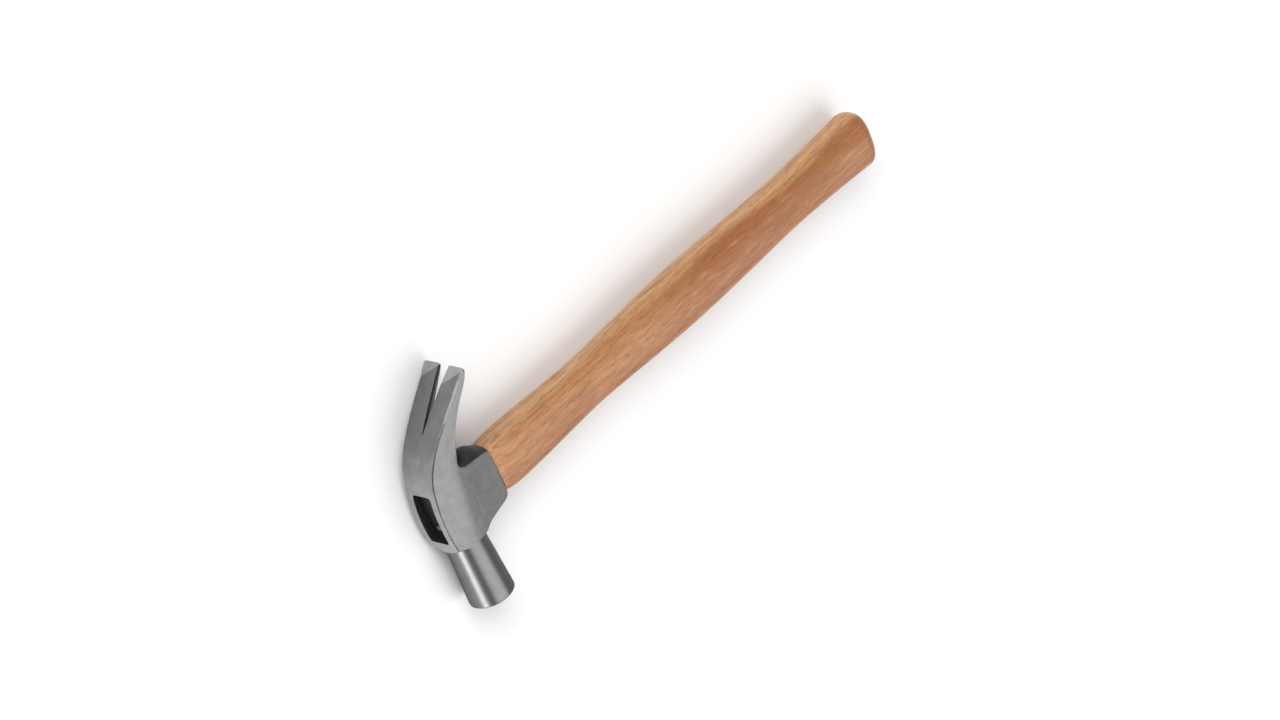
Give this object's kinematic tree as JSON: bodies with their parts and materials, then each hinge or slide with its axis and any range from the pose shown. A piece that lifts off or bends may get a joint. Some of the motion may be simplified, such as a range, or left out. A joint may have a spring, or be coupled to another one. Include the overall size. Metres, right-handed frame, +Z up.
{
  "type": "claw hammer",
  "caption": "Claw hammer: forged steel head with a round poll and a slotted curved claw, wedged on a straight waisted wooden handle.",
  "frame": {"origin": "under the middle of the bounding box, at the height of the lowest point, with the hammer lying on its side", "axes": "+X along the handle from the head to the butt, +Y from the poll towards the claws (so the hammer strikes towards -Y), +Z up, across the cheeks"},
  "size_m": [0.3446, 0.1258, 0.0316],
  "materials": {
    "head_steel": "satin ground steel, black paint in the eye, the notch and the nail slot",
    "handle_wood": "clear satin lacquer over fine-pored hardwood",
    "wedge_wood": "end grain under black paint",
    "wedge_steel": "bare stamped steel"
  },
  "bodies": {
    "root": {"hammer_head": "head_steel", "handle": "handle_wood", "wooden_wedge": "wedge_wood", "steel_wedge": "wedge_steel"}
  },
  "joints": []
}
